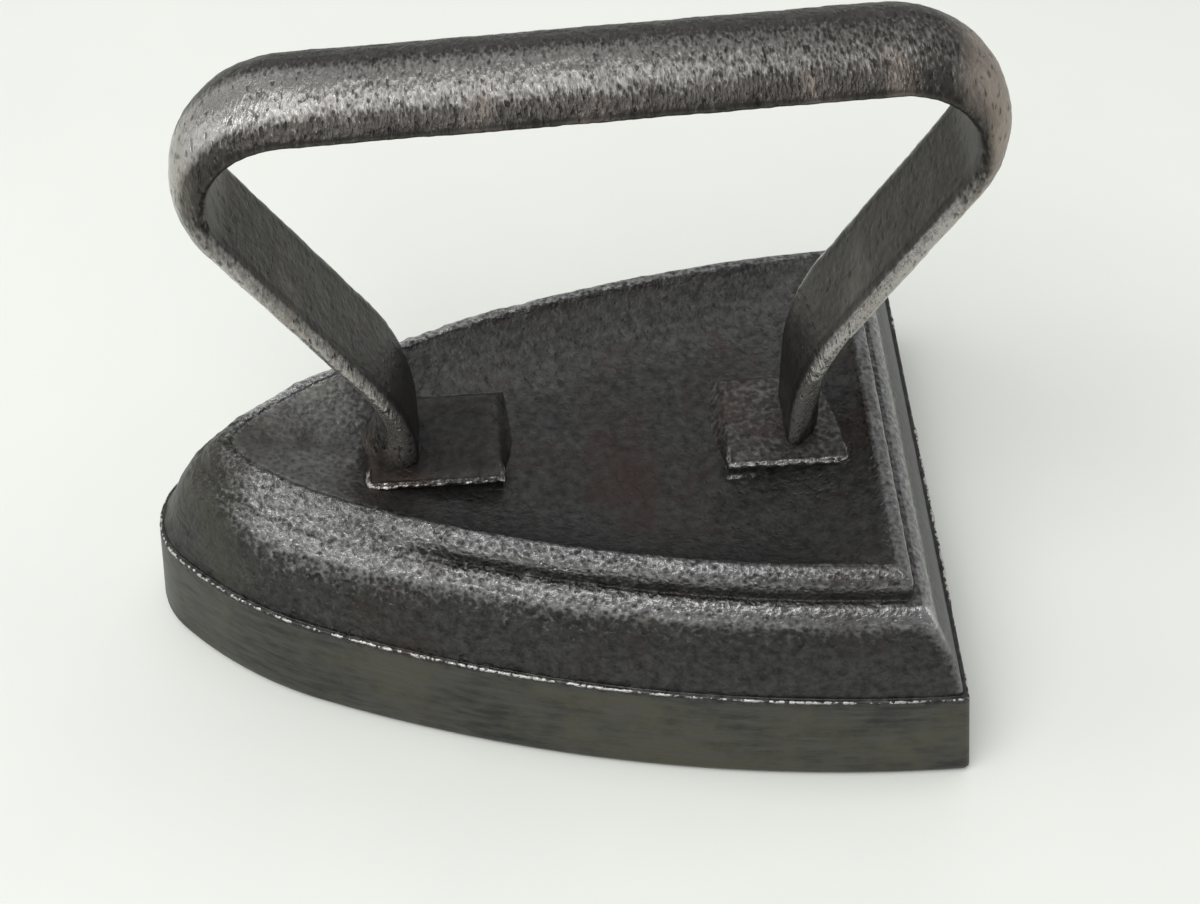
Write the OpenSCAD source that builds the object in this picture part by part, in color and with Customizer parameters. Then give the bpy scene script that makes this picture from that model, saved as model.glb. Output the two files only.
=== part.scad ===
// Toy sad iron: a solid cast base with a moulded rim and a dished deck, and a handle
// bent from one half-round bar whose feet are set in two blocks keyed into the deck.
// The nose points to -X and the heel to +X. The origin is the middle of the sole.

/* [Base outline] */
// Length from nose to heel at the top of the plinth
base_len = 80; // [70:0.5:90]
// Width across the heel at the top of the plinth
base_w = 55.6; // [50:0.2:62]
// Radius of the nose in plan
nose_r = 7.5; // [6:0.1:8.5]
// Radius of the shoulder between nose and side in plan
shoulder_r = 41; // [36:0.5:46]
// Angle that the side turns through from the heel to the shoulder
side_turn = 22.7; // [20:0.1:24]

/* [Base profile] */
// Height of the ground plinth
plinth_h = 11.8; // [9:0.1:14]
// How far the sole stands out past the top of the plinth
plinth_flare = 1.3; // [0.8:0.1:2]
// Bevel along the edge of the sole
sole_bevel = 0.5; // [0.2:0.1:0.7]
// Width of the narrow shelf that the slope stands on
shelf_w = 0.8; // [0.4:0.1:1.2]
// Rise of that shelf
shelf_rise = 0.25; // [0.1:0.05:0.5]
// Inset of the slope's rounded top edge
slope_in = 4.4; // [3.8:0.1:5]
// Height of the slope above the plinth
slope_h = 8.3; // [7:0.1:9]
// Rounding of the slope's top edge
slope_round = 1.1; // [0.6:0.1:1.6]
// Width of the ledge above the slope
ledge_w = 0.5; // [0.3:0.1:0.8]
// Height of the riser from the ledge to the quirk under the bead
riser_h = 1.7; // [1.2:0.1:2.2]
// Batter of that riser
riser_in = 0.5; // [0.3:0.1:0.8]
// Radius of the bead along the rim
bead_r = 1.5; // [1.2:0.1:1.8]
// Inset of the bead's crest
bead_in = 7.2; // [6.8:0.1:7.6]
// Height of the bead's crest above the slope
bead_h = 4.5; // [4:0.1:5]
// Depth of the deck below the bead's crest
dish_depth = 4.2; // [3.8:0.1:5]
// Radius of the cove from the deck to the bead
cove_r = 2.6; // [1.5:0.1:2.7]

/* [Handle] */
// Width of the half-round bar
bar_w = 11.6; // [10:0.1:13]
// Thickness of the bar from its flat face to its crown
bar_t = 3.4; // [2.8:0.1:4]
// Rounding along the edges of the flat face
bar_edge = 0.8; // [0.4:0.1:1]
// Distance from the nose to the front foot's flat face
front_foot = 27.6; // [25:0.1:30]
// Distance from the heel to the rear foot's flat face
rear_foot = 15.7; // [14:0.1:20]
// How far forward the front strap leans before the grip
front_lean = 21; // [17:0.1:24]
// How far back the rear strap leans before the grip
rear_lean = 19.7; // [16:0.1:23]
// Height of the front strap's knee above the deck
front_knee = 11.3; // [10.5:0.1:14]
// Height of the rear strap's knee above the deck
rear_knee = 14.7; // [12:0.1:18]
// Height of the grip's flat face above the deck at the front strap
grip_h = 47.2; // [42:0.1:52]
// Rise of the grip from the front strap to the rear strap
grip_rise = 3.4; // [0:0.1:5]
// Radius of the two knees
knee_r = 25; // [20:0.5:26]
// Radius of the two bends at the grip
bend_r = 7.7; // [6:0.1:10]
// How much fuller the bar is in its bends and knees
bend_swell = 0.06; // [0.05:0.01:0.08]
// How far a straight run of the bar reaches into a bend
bend_lap = 0.1; // [0.05:0.05:0.15]
// Width of a foot where it enters its pad
foot_w = 8.3; // [7:0.1:9]
// Height above the pad over which a foot narrows
foot_taper_h = 12; // [8:0.5:16]
// Width of the splayed tail at a foot's lower end
tail_w = 9.6; // [8:0.1:10]
// Depth of the tail below the deck
tail_depth = 6.5; // [5:0.1:7]

/* [Foot pads] */
// Height of a pad above the deck
pad_h = 2.6; // [2:0.1:3.2]
// Width of both pads across the base
pad_w = 12; // [11.4:0.1:13]
// Reach of the front pad ahead of its foot's flat face
front_pad_fore = 5.1; // [4.5:0.1:6]
// Reach of the front pad behind its foot's flat face
front_pad_aft = 8.2; // [7:0.1:9]
// Reach of the rear pad ahead of its foot's flat face
rear_pad_fore = 6; // [5:0.1:7]
// Reach of the rear pad behind its foot's flat face
rear_pad_aft = 6; // [5:0.1:6.6]
// Length of a pad's key at the deck
key_len = 7.4; // [6.6:0.1:8]
// Width of a pad's key across the base
key_w = 11; // [10.6:0.1:11.3]
// How far the key spreads at each end towards its lower face
key_spread = 1; // [0.5:0.1:1.4]
// Depth of the key below the deck
key_depth = 8; // [7.5:0.1:9]
// Gap between the set pieces, on each side
set_gap = 0.06; // [0.04:0.01:0.1]

/* [Hidden] */
$fn = 96;
iron = [0.24, 0.24, 0.24];
bar_iron = [0.33, 0.31, 0.30];
pad_iron = [0.45, 0.44, 0.43];

// Overshoot of cutting shapes, and the depth by which the slope enters its rounding
over = 1;
bite = 0.01;

// Heights above the sole
ledge_z = plinth_h + slope_h;
rim_z = ledge_z + bead_h;
deck_z = rim_z - dish_depth;
pad_z = deck_z + pad_h;
tail_z = deck_z - tail_depth;
key_z = deck_z - key_depth;

// Plan of the base: three tangent arcs on each side, from the nose to the heel
nose_x = -base_len / 2;
heel_x = base_len / 2;
half_w = base_w / 2;
turn_s = sin(side_turn);
turn_v = 1 - cos(side_turn);
arc_run = base_len - nose_r;
arc_drop = shoulder_r - half_w;
arc_pull = arc_run * turn_s - arc_drop * turn_v;
arc_lack = pow(arc_run, 2) + pow(arc_drop, 2) - pow(shoulder_r - nose_r, 2);
centre_gap = (arc_pull - sqrt(pow(arc_pull, 2) - 2 * turn_v * arc_lack)) / (2 * turn_v);
side_r = shoulder_r + centre_gap;
side_way = [-turn_s, turn_v - 1];
nose_c = [nose_x + nose_r, 0];
side_c = [heel_x, side_r - half_w];
shoulder_c = side_c + centre_gap * side_way;

// Corners of the plan's pieces: nose, shoulders and sides meet along these lines
nose_out = nose_c + base_len * unit(nose_c - shoulder_c);
side_in = shoulder_c - shoulder_c.y / side_way.y * side_way;
side_out = side_in + base_len * side_way;
heel_out = heel_x + base_w;
fill = side_r + plinth_flare + over;

// Path of the handle's flat face in the middle plane, as [x, z], and its corners' radii
front_foot_x = nose_x + front_foot;
rear_foot_x = heel_x - rear_foot;
grip_z = deck_z + grip_h;
handle_path = [
    [front_foot_x, tail_z],
    [front_foot_x, deck_z + front_knee],
    [front_foot_x - front_lean, grip_z],
    [rear_foot_x + rear_lean, grip_z + grip_rise],
    [rear_foot_x, deck_z + rear_knee],
    [rear_foot_x, tail_z]
];
path_r = [0, knee_r, bend_r, bend_r, knee_r, 0];

// Crown of the bar: its radius, so that it runs smoothly into the rounded edges, and its centre
edge_y = bar_w / 2 - bar_edge;
crown_r = (pow(edge_y, 2) + pow(bar_t - bar_edge, 2) - pow(bar_edge, 2)) / (2 * (bar_t - 2 * bar_edge));
crown_y = bar_t - crown_r;

function unit(v) = v / norm(v);

// Direction of a vector in the plane
function angle_of(v) = atan2(v.y, v.x);

// Direction of the handle's straight run i, which starts at point i of the path
function run_way(i) = unit(handle_path[i + 1] - handle_path[i]);

// Half of the inner angle at a corner of the path
function half_angle(i) = acos(-run_way(i - 1) * run_way(i)) / 2;

// Length that the rounding takes from each side of a corner
function corner_cut(i) = path_r[i] == 0 ? 0 : path_r[i] / tan(half_angle(i));

// Where a straight run starts and ends, between the corners' roundings
function run_start(i) = handle_path[i] + corner_cut(i) * run_way(i);

function run_end(i) = handle_path[i + 1] - corner_cut(i + 1) * run_way(i);

// How far a run laps into the corner at its point i
function run_lap(i) = path_r[i] == 0 ? 0 : bend_lap;

function bend_centre(i) =
    handle_path[i] + unit(run_way(i) - run_way(i - 1)) * path_r[i] / sin(half_angle(i));

// A move in whole, fine and finest parts, so that tangent sweeps meet without a step
module place(v) {
    whole = [for (c = v) round(c)];
    fine = [for (c = v - whole) round(c * 1000) / 1000];
    translate(whole) translate(fine) translate(v - whole - fine) children();
}

// The section revolved about an arc's centre, kept inside one piece of the plan
module sweep(c, r, plan) {
    intersection() {
        place([c.x, c.y, 0])
            rotate_extrude()
                intersection() {
                    place([r, 0]) children();
                    translate([0, -over]) square([fill + over, rim_z + 3 * over]);
                }
        translate([0, 0, -2 * over]) linear_extrude(height = rim_z + 5 * over) polygon(plan);
    }
}

// The section carried round shoulder and side, on the near half of the plan
module near_half() {
    sweep(shoulder_c, shoulder_r, [nose_c, nose_out, side_out, side_in]) children();
    sweep(side_c, side_r, [side_in, side_out, [heel_out, side_out.y], [heel_out, 0]]) children();
}

module both_halves() {
    near_half() children();
    mirror([0, 1, 0]) near_half() children();
}

// The section carried straight across the heel, which mitres the moulding there
module across_heel() {
    rotate([90, 0, 0])
        linear_extrude(height = 2 * base_w, center = true)
            translate([heel_x, 0]) children();
}

// Section of the solid base: x runs outward from the plinth's top edge, y is the height
module base_section() {
    round_c = [-slope_in, ledge_z - slope_round];
    foot = [-shelf_w, plinth_h + shelf_rise];
    away = foot - round_c;
    touch = angle_of(away) + acos(slope_round / norm(away));
    riser_x = -slope_in - ledge_w;
    quirk_z = ledge_z + riser_h;
    polygon([
        [-fill, 0],
        [plinth_flare - sole_bevel, 0],
        [plinth_flare, sole_bevel],
        [0, plinth_h],
        foot,
        round_c + (slope_round - bite) * [cos(touch), sin(touch)],
        round_c,
        [-slope_in, ledge_z],
        [riser_x, ledge_z],
        [riser_x - riser_in, quirk_z],
        [-bead_in, quirk_z],
        [-bead_in, rim_z],
        [-fill, rim_z]
    ]);
    translate(round_c) circle(r = slope_round);
    translate([-bead_in, rim_z - bead_r]) circle(r = bead_r);
}

// Section of the dish inside the bead, with a cove down to the deck
module dish_section() {
    wall_x = -bead_in - bead_r;
    bead_z = rim_z - bead_r;
    translate([-fill, deck_z + cove_r]) square([fill + wall_x, dish_depth]);
    translate([-fill, deck_z]) square([fill + wall_x - cove_r, dish_depth]);
    translate([wall_x - cove_r, deck_z + cove_r]) circle(r = cove_r);
    difference() {
        translate([wall_x - over, bead_z]) square([bead_r + over, bead_r + over]);
        translate([-bead_in, bead_z]) circle(r = bead_r);
    }
}

// A pad's block on the deck and its dovetailed key below, grown sideways by gap
module setting(foot_x, outward, fore, aft, gap) {
    key_half = key_len / 2 + gap;
    key_foot = key_half + key_spread;
    translate([foot_x - fore - gap, -pad_w / 2 - gap, deck_z])
        cube([fore + aft + 2 * gap, pad_w + 2 * gap, pad_h]);
    translate([foot_x + outward * bar_t / 2, 0, 0])
        rotate([90, 0, 0])
            linear_extrude(height = key_w + 2 * gap, center = true)
                polygon([[-key_foot, key_z], [key_foot, key_z], [key_half, deck_z], [-key_half, deck_z]]);
}

module front_setting(gap) {
    setting(front_foot_x, -1, front_pad_fore, front_pad_aft, gap);
}

module rear_setting(gap) {
    setting(rear_foot_x, 1, rear_pad_fore, rear_pad_aft, gap);
}

// Section of the half-round bar, flat face on the x axis, grown by gap all round
module bar_section(gap) {
    fan = 2;
    fan_y = bar_edge + fan * (bar_edge - crown_y);
    intersection() {
        translate([0, crown_y]) circle(r = crown_r + gap);
        polygon([
            [-edge_y, bar_edge],
            [edge_y, bar_edge],
            [edge_y * (1 + fan), fan_y],
            [-edge_y * (1 + fan), fan_y]
        ]);
    }
    translate([-edge_y, -gap]) square([2 * edge_y, bar_edge + gap]);
    for (side = [-1, 1])
        translate([side * edge_y, bar_edge]) circle(r = bar_edge + gap);
}

// A straight run of bar between two points of the path
module bar_run(from, to, gap = 0) {
    way = to - from;
    translate([from.x, 0, from.y])
        rotate([0, atan2(way.x, way.y), 0])
            rotate([0, 0, 90])
                linear_extrude(height = norm(way)) bar_section(gap);
}

// The bar round corner i of the path: the knees have their crown inside, the bends outside
module bar_bend(i) {
    c = bend_centre(i);
    start = angle_of(run_end(i - 1) - c);
    turn = 180 - 2 * half_angle(i);
    knee = run_way(i - 1).x * run_way(i).y > run_way(i - 1).y * run_way(i).x;
    translate([c.x, 0, c.y])
        rotate([90, 0, 0])
            rotate([0, 0, knee ? start : start - turn])
                rotate_extrude(angle = turn)
                    translate([path_r[i], 0]) rotate(knee ? 90 : -90) bar_section(bend_swell);
}

// The narrowing of the feet seen along the base, down to their splayed tails
module foot_outline(gap) {
    top_z = grip_z + grip_rise + bar_w;
    tip = tail_w / 2 + gap;
    neck = foot_w / 2 + gap;
    wide = neck + (bar_w - foot_w) / 2 / foot_taper_h * (top_z - pad_z);
    rotate([90, 0, 90])
        linear_extrude(height = 2 * base_len, center = true)
            polygon([
                [-tip, tail_z - over],
                [tip, tail_z - over],
                [tip, tail_z],
                [neck, pad_z],
                [wide, top_z],
                [-wide, top_z],
                [-neck, pad_z],
                [-tip, tail_z]
            ]);
}

// The slot that a foot and its tail fill in their pad
module foot_slot(foot_x, outward) {
    low = [foot_x, tail_z];
    high = [foot_x, pad_z + over];
    intersection() {
        bar_run(outward < 0 ? low : high, outward < 0 ? high : low, set_gap);
        foot_outline(set_gap);
    }
}

module base_casting() {
    color(iron)
        difference() {
            intersection() {
                union() {
                    both_halves() base_section();
                    sweep(nose_c, nose_r, [nose_c, [nose_out.x, -nose_out.y], nose_out]) base_section();
                }
                across_heel() base_section();
            }
            intersection() {
                both_halves() dish_section();
                across_heel() dish_section();
            }
            front_setting(set_gap);
            rear_setting(set_gap);
        }
}

module handle() {
    last = len(handle_path) - 1;
    color(bar_iron)
        intersection() {
            union() {
                for (i = [0 : last - 1])
                    bar_run(run_start(i) - run_lap(i) * run_way(i), run_end(i) + run_lap(i + 1) * run_way(i));
                for (i = [1 : last - 1])
                    bar_bend(i);
            }
            foot_outline(0);
        }
}

module front_foot_pad() {
    color(pad_iron)
        difference() {
            front_setting(0);
            foot_slot(front_foot_x, -1);
        }
}

module rear_foot_pad() {
    color(pad_iron)
        difference() {
            rear_setting(0);
            foot_slot(rear_foot_x, 1);
        }
}

base_casting();
handle();
front_foot_pad();
rear_foot_pad();
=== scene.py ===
"""Looks of a toy sad iron: a cast base with a moulded rim, and a bent bar handle set in two foot pads."""
import bmesh
import bpy
import numpy as np
from mathutils import Matrix, Vector


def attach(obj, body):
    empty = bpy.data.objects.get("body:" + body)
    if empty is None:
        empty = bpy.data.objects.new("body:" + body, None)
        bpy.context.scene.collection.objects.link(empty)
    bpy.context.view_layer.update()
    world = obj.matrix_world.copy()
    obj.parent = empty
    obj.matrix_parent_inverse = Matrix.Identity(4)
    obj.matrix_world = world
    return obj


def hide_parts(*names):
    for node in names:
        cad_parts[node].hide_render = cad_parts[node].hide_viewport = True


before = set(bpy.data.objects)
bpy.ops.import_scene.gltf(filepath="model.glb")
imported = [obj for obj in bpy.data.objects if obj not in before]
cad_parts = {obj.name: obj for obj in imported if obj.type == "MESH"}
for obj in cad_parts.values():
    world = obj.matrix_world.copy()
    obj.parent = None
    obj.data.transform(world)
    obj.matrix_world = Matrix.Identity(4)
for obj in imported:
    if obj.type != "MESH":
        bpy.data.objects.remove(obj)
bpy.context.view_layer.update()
scene = bpy.context.scene
scene.view_settings.view_transform = "Standard"

# The camera: held by hand above the near side of the iron, with a plain lens.
# The picture is taken to be 1200 by 904.
camera = bpy.data.objects.new("camera", bpy.data.cameras.new("camera"))
camera.data.sensor_fit = "HORIZONTAL"
camera.data.sensor_width = 36
camera.data.lens = 66
camera.data.clip_start = 0.01
camera.data.clip_end = 10
camera_place = Vector((-0.00307, -0.13884, 0.19562))
camera_right = Vector((0.99753, -0.07012, -0.00490))
camera_up = Vector((0.05813, 0.78373, 0.61839))
camera_back = Vector((-0.03952, -0.61714, 0.78586))
camera_turn = Matrix((camera_right, camera_up, camera_back)).transposed().to_4x4()
camera.matrix_world = Matrix.Translation(camera_place) @ camera_turn
scene.collection.objects.link(camera)
scene.camera = camera


# The table top: pale, matt laminate with a faint mottle, which the iron stands on.
# It is only a stage, and keeps the soft shadow round the sole.
def link_noise(tree, vector, scale, detail=2.0, roughness=0.5):
    """The value of a noise texture, in a shader tree or a geometry tree."""
    node = tree.nodes.new("ShaderNodeTexNoise")
    tree.links.new(vector, node.inputs["Vector"])
    if isinstance(scale, (int, float)):
        node.inputs["Scale"].default_value = scale
    else:
        tree.links.new(scale, node.inputs["Scale"])
    node.inputs["Detail"].default_value = detail
    node.inputs["Roughness"].default_value = roughness
    return node.outputs[0]


def link_spread(tree, value, low, high, to_low=0.0, to_high=1.0):
    """A value stretched from one range to another, and held inside it."""
    node = tree.nodes.new("ShaderNodeMapRange")
    tree.links.new(value, node.inputs["Value"])
    for name, number in (("From Min", low), ("From Max", high), ("To Min", to_low), ("To Max", to_high)):
        node.inputs[name].default_value = number
    return node.outputs["Result"]


def link_mix(tree, amount, first, second):
    """Two colours mixed by an amount from 0 to 1."""
    node = tree.nodes.new("ShaderNodeMix")
    node.data_type = "RGBA"
    tree.links.new(amount, node.inputs["Factor"])
    for socket, value in zip((node.inputs[6], node.inputs[7]), (first, second)):
        if isinstance(value, tuple):
            socket.default_value = (*value, 1)
        else:
            tree.links.new(value, socket)
    return node.outputs[2]


table_reach = 1.5
table_mesh = bpy.data.meshes.new("table_top")
table_corners = [(-table_reach, -table_reach, 0), (table_reach, -table_reach, 0)]
table_corners += [(table_reach, table_reach, 0), (-table_reach, table_reach, 0)]
table_mesh.from_pydata(table_corners, [], [(0, 1, 2, 3)])
table_top = bpy.data.objects.new("table_top", table_mesh)
scene.collection.objects.link(table_top)
laminate = bpy.data.materials.new("pale_laminate")
laminate.use_nodes = True
tree = laminate.node_tree
shader = tree.nodes["Principled BSDF"]
shader.inputs["Roughness"].default_value = 0.5
coords = tree.nodes.new("ShaderNodeTexCoord").outputs["Object"]
mottle = link_spread(tree, link_noise(tree, coords, 14, 4.0, 0.6), 0.3, 0.7)
laminate_dark, laminate_pale = (0.84, 0.86, 0.80), (0.88, 0.89, 0.835)
tree.links.new(link_mix(tree, mottle, laminate_dark, laminate_pale), shader.inputs["Base Color"])
table_mesh.materials.append(laminate)


# The light: one soft pane overhead and one high on the nose's side, in a pale room. A low pane on the wall
# behind and two weak ones at the sides keep the bends and the heel from going black.
IRON_MIDDLE = (0, 0, 0.03)


def add_pane(name, place, size, radiance):
    """A soft rectangular lamp turned to the iron, as bright to look at whatever its size."""
    lamp = bpy.data.lights.new(name, "AREA")
    lamp.shape = "RECTANGLE"
    lamp.size, lamp.size_y = size
    lamp.energy = radiance * np.pi * size[0] * size[1]
    pane = bpy.data.objects.new(name, lamp)
    pane.location = place
    pane.rotation_mode = "QUATERNION"
    pane.rotation_quaternion = (Vector(IRON_MIDDLE) - Vector(place)).to_track_quat("-Z", "Y")
    scene.collection.objects.link(pane)


add_pane("pane_overhead", (0.0, 0.17, 0.84), (0.80, 0.36), 1.75)
add_pane("pane_nose_side", (-0.255, -0.30, 0.757), (0.70, 0.44), 4.6)
add_pane("pane_wall", (0.0, 0.85, 0.45), (1.70, 0.30), 0.9)
add_pane("pane_left", (-0.80, 0.10, 0.28), (0.60, 0.50), 1.2)
add_pane("pane_right", (0.80, 0.03, 0.28), (0.60, 0.34), 1.3)
room = bpy.data.worlds.new("room")
scene.world = room
room.use_nodes = True
room.node_tree.nodes["Background"].inputs["Color"].default_value = (0.95, 0.97, 1.0, 1)
room.node_tree.nodes["Background"].inputs["Strength"].default_value = 0.28


# The base: one solid iron casting. The plinth's sides are ground flat, and the sloped moulding, the bead
# and the dished deck keep their sand-cast skin. A torn edge of flash runs round the top of the plinth.
MM = 0.001
BASE_LEN, BASE_HALF = 80.0, 27.8
NOSE_R, SHOULDER_R, SIDE_TURN = 7.5, 41.0, 22.7
DECK_Z = 21.2
SIDE_STEPS, HEEL_STEPS, DECK_RINGS = 215, 130, 40
columns = 2 * SIDE_STEPS + HEEL_STEPS

# Arcs of the plan: nose, shoulder and long side run into each other without a kink
turn_sine, turn_versine = np.sin(np.radians(SIDE_TURN)), 1 - np.cos(np.radians(SIDE_TURN))
arc_run, arc_drop = BASE_LEN - NOSE_R, SHOULDER_R - BASE_HALF
arc_pull = arc_run * turn_sine - arc_drop * turn_versine
arc_lack = arc_run**2 + arc_drop**2 - (SHOULDER_R - NOSE_R) ** 2
centre_gap = (arc_pull - np.sqrt(arc_pull**2 - 2 * turn_versine * arc_lack)) / (2 * turn_versine)
SIDE_R = SHOULDER_R + centre_gap
nose_c = np.array([-BASE_LEN / 2 + NOSE_R, 0.0])
side_c = np.array([BASE_LEN / 2, SIDE_R - BASE_HALF])
shoulder_c = side_c + centre_gap * np.array([-turn_sine, turn_versine - 1])
nose_turn = np.degrees(np.arctan2(nose_c[1] - shoulder_c[1], nose_c[0] - shoulder_c[0]))


def arc_points(centre, radius, start, end, count):
    """Points on an arc, from one angle to another in degrees."""
    angle = np.radians(np.linspace(start, end, count))
    return np.c_[centre[0] + radius * np.cos(angle), centre[1] + radius * np.sin(angle)]


def resample(path, count):
    """Points spread evenly along a path."""
    path = np.asarray(path, float)
    along = np.r_[0, np.cumsum(np.linalg.norm(np.diff(path, axis=0), axis=1))]
    at = np.linspace(0, along[-1], count)
    return np.stack([np.interp(at, along, column) for column in path.T], -1)


def ease(value, low, high):
    """0 below low, 1 above high, and smooth between."""
    t = np.clip((np.asarray(value, float) - low) / (high - low), 0, 1)
    return t * t * (3 - 2 * t)


def band(value, middle, width):
    """1 at the middle, and falling away on both sides of it."""
    return np.exp(-(((value - middle) / width) ** 2))


def plan_loop(inset):
    """The base's plan as a ring of points moved in by inset, with the heel's corners eased a little."""
    nose_fine, shoulder_fine, side_fine = 60, 120, 200
    arcs, start = [], nose_turn
    if inset < NOSE_R - 0.05:
        arcs.append(arc_points(nose_c, NOSE_R - inset, -180, nose_turn, nose_fine))
    else:
        start = -180 + np.degrees(np.arcsin(shoulder_c[1] / (SHOULDER_R - inset)))
    arcs.append(arc_points(shoulder_c, SHOULDER_R - inset, start, -90 - SIDE_TURN, shoulder_fine))
    end = -90 - np.degrees(np.arcsin(inset / (SIDE_R - inset)))
    arcs.append(arc_points(side_c, SIDE_R - inset, -90 - SIDE_TURN, end, side_fine))
    near = resample(np.vstack(arcs), SIDE_STEPS + 1)
    near[0, 1] = 0
    heel = np.linspace(near[-1], near[-1] * [1, -1], HEEL_STEPS + 1)
    loop = np.vstack([near, heel[1:], near[-2:0:-1] * [1, -1]])
    for corner in (SIDE_STEPS, SIDE_STEPS + HEEL_STEPS):
        for _ in range(2):
            pick = np.arange(corner - 2, corner + 3)
            loop[pick] = 0.25 * loop[pick - 1] + 0.5 * loop[pick] + 0.25 * loop[pick + 1]
    return loop


# Profile from the sole to the deck, as inset and height, with a name for each stretch
slope_foot, slope_top = np.array([0.45, 12.05]), np.array([3.373, 19.394])
slope_belly = np.array([-0.947, 0.321])
slope_at = np.linspace(0, 1, 40)[:, None]
slope_line = slope_foot + (slope_top - slope_foot) * slope_at
slope_line = slope_line + slope_belly * slope_at * (1 - slope_at)
bead_c, BEAD_R, CREST_TURN = np.array([7.2, 23.1]), 1.5, 84
crest_in, crest_z = arc_points(bead_c, BEAD_R, CREST_TURN, CREST_TURN, 1)[0]
DISH_REACH, DISH_CURVE, FLANK_END = 9.5, 1.7, 14.5
flank_insets = np.linspace(crest_in + 0.2, FLANK_END, 20)


def dish_height(inset, crest, floor):
    """The deck's height: a bowl that falls from the bead's crest and flattens out in the floor."""
    share = np.clip((inset - crest_in) / DISH_REACH, 0, 1)
    return floor + (crest - floor) * (1 - share) ** DISH_CURVE


stretches = [
    ("sole", np.array([[3.0, 0.0], [-0.45, 0.0]]), 2),
    ("sole_edge", arc_points((-0.4, 0.85), 0.85, 272, 187, 12), 6),
    ("plinth", np.array([[-1.25, 0.85], [-0.15, 11.2]]), 24),
    ("flash", np.array([[-0.13, 11.35], [-0.1, 11.62], [0.0, 11.82], [0.18, 11.9], [0.4, 11.9]]), 9),
    ("shelf", np.array([[0.41, 11.92], [0.43, 11.97], [0.44, 12.02]]), 4),
    ("slope", slope_line[1:], 27),
    ("round", np.array([[3.5, 19.75], [3.72, 20.2], [4.02, 20.62], [4.38, 20.98], [4.72, 21.2]]), 9),
    ("lip", np.array([[4.88, 21.28], [5.12, 21.36], [5.34, 21.34]]), 4),
    ("quirk", np.array([[5.46, 21.24], [5.6, 21.14], [5.68, 21.3], [5.74, 22.2]]), 7),
    ("bead", arc_points(bead_c, BEAD_R, 200, CREST_TURN, 60), 15),
    ("flank", np.c_[flank_insets, dish_height(flank_insets, crest_z, DECK_Z)], 20),
]
profile = np.vstack([resample(path, count) for _, path, count in stretches])
stretch_of_row = np.repeat([name for name, _, _ in stretches], [count for _, _, count in stretches])
MOULDINGS = ("slope", "round", "lip", "quirk", "bead")
moulded = np.flatnonzero(np.isin(stretch_of_row, MOULDINGS))[4:-2]
EDGE_PASSES, NOSE_PASSES = 5, 120


def soften(line, passes):
    """A profile with the corners of its mouldings rounded off, while its ends keep their place."""
    line = line.copy()
    for _ in range(passes):
        line[moulded] = (line[moulded - 1] + 2 * line[moulded] + line[moulded + 1]) / 4
    return line


profile = soften(profile, EDGE_PASSES)
softened = soften(profile, NOSE_PASSES)


def profile_grid(points):
    """The plan's ring at each point of a profile, as rows and columns of places."""
    return np.array([np.c_[plan_loop(inset), np.full(columns, height)] for inset, height in points])


# The grid of the base. A row of the plinth tells how far along the iron each column lies,
# and the mouldings run out softly round the nose.
PLAN_ROW = 10
base_grid = profile_grid(profile)
nose_share = 1 - ease(base_grid[PLAN_ROW, :, 0], -26, -11)
base_grid += (profile_grid(softened) - base_grid) * nose_share[None, :, None]
nose_front = 1 - ease(base_grid[PLAN_ROW, :, 0], -37, -27)
deck_middle = np.array([12.0, 0.0, DECK_Z])
deck_shares = 1 - (np.arange(DECK_RINGS) + 0.6) / (DECK_RINGS + 0.2)
deck_grid = deck_middle + (base_grid[-1] - deck_middle) * deck_shares[:, None, None]
deck_grid[:, :, 2] = DECK_Z
sole_middle, sole_shares = np.array([12.0, 0.0, 0.0]), np.array([0.35, 0.75])
sole_grid = sole_middle + (base_grid[0] - sole_middle) * sole_shares[:, None, None]
base_grid = np.vstack([sole_grid, base_grid, deck_grid])
stretch_of_row = np.r_[["sole"] * len(sole_grid), stretch_of_row, ["deck"] * DECK_RINGS]
rows = len(base_grid)
dish_rows = np.isin(stretch_of_row, ("flank", "deck"))

# The dish: a bowl by the distance from the rim, with soft corners at the heel and a higher floor at the nose
CORNER_SOFT, NOSE_RISE = 2.5, 1.3
dish_plan = base_grid[dish_rows][:, :, :2]
sides = np.delete(plan_loop(0.0), np.arange(SIDE_STEPS + 1, SIDE_STEPS + HEEL_STEPS), axis=0)
from_sides = np.array([np.linalg.norm(ring[:, None] - sides[None], axis=2).min(1) for ring in dish_plan])
from_heel = BASE_LEN / 2 - dish_plan[:, :, 0]
inset_grid = -CORNER_SOFT * np.log(np.exp(-from_sides / CORNER_SOFT) + np.exp(-from_heel / CORNER_SOFT))
crest_row = np.flatnonzero(stretch_of_row == "flank")[0] - len(sole_grid) - 1
crest_drop = (profile - softened)[crest_row, 1] * nose_share
dish_floor = DECK_Z + NOSE_RISE * ease(-dish_plan[:, :, 0], 16, 28)
base_grid[dish_rows, :, 2] = dish_height(inset_grid, crest_z - crest_drop, dish_floor)

# Smoothing round the nose, which goes on for longer at its very front
NOSE_TURNS, FRONT_TURNS, MOULDING_FOOT = 60, 50, 12.4
for turn in range(NOSE_TURNS + FRONT_TURNS):
    around = (np.roll(base_grid, 1, 1) + np.roll(base_grid, -1, 1)) / 2
    across = np.vstack([base_grid[:1], (base_grid[:-2] + base_grid[2:]) / 2, base_grid[-1:]])
    upper = (base_grid[:, :, 2] > MOULDING_FOOT) * (nose_share if turn < NOSE_TURNS else nose_front)
    base_grid += 0.5 * upper[:, :, None] * ((around + across) / 2 - base_grid)


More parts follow.
